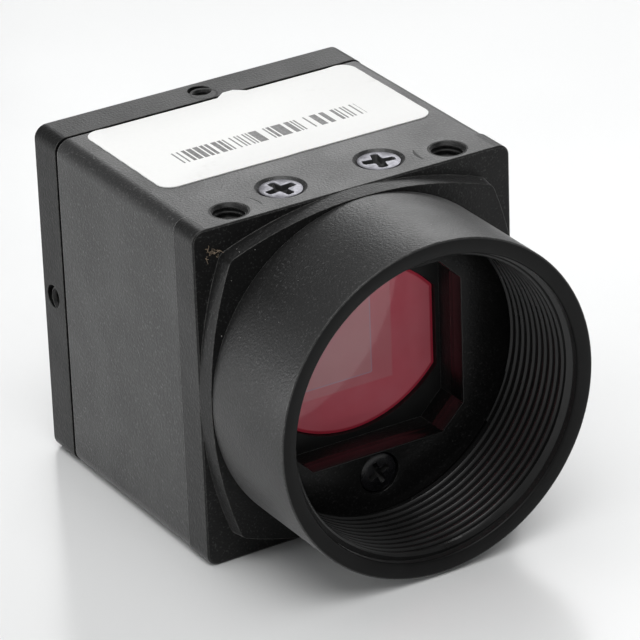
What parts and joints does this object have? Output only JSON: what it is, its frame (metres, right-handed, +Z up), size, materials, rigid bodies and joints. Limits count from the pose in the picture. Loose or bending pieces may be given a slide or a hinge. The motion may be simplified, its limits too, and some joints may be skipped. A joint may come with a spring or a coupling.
{
  "type": "machine vision camera",
  "caption": "Cube-shaped black machine vision camera with a threaded lens barrel, pink filter glass behind an eight-sided window, a top label and tapped mounting holes.",
  "frame": {"origin": "middle of the underside of the box around the camera, which rests flat on z = 0", "axes": "-Y out through the lens barrel, +Y towards the sockets, +Z up through the label, X across"},
  "size_m": [0.029, 0.0426, 0.0291],
  "materials": {
    "body_black": "satin black anodised, finely blasted",
    "screw_black": "black oxide",
    "screw_bright": "bright",
    "label_white": "matt white",
    "frame_black": "matt",
    "filter_glass": "coated, pinkish red",
    "cover_glass": "clear",
    "gasket_rubber": "matt",
    "package_ceramic": "matt",
    "die_dark": "polished",
    "board_green": "lacquered",
    "spacer_brass": "turned",
    "chip_black": "moulded",
    "socket_metal": "nickel plated",
    "pin_brass": "gold flash",
    "lamp_clear": "translucent"
  },
  "bodies": {
    "root": {"front_plate": "body_black", "lens_barrel": "body_black", "housing_shell": "body_black", "rear_plate": "body_black", "barrel_screws": "screw_black", "rear_plate_screws": "screw_black", "cover_screws": "screw_bright", "stack_screws": "screw_bright", "label": "label_white", "filter_frame": "frame_black", "ir_filter": "filter_glass", "sensor_gasket": "gasket_rubber", "sensor_cover_glass": "cover_glass", "sensor_package": "package_ceramic", "sensor_die": "die_dark", "sensor_board": "board_green", "processing_board": "board_green", "interface_board": "board_green", "board_spacers": "spacer_brass", "processor_chip": "chip_black", "memory_chips": "chip_black", "board_plugs": "frame_black", "board_sockets": "frame_black", "data_socket_shell": "socket_metal", "data_socket_block": "frame_black", "signal_connector_shell": "socket_metal", "signal_connector_insert": "frame_black", "signal_connector_nut": "socket_metal", "signal_connector_pins": "pin_brass", "status_lamp": "lamp_clear", "light_pipe": "lamp_clear"}
  },
  "joints": []
}
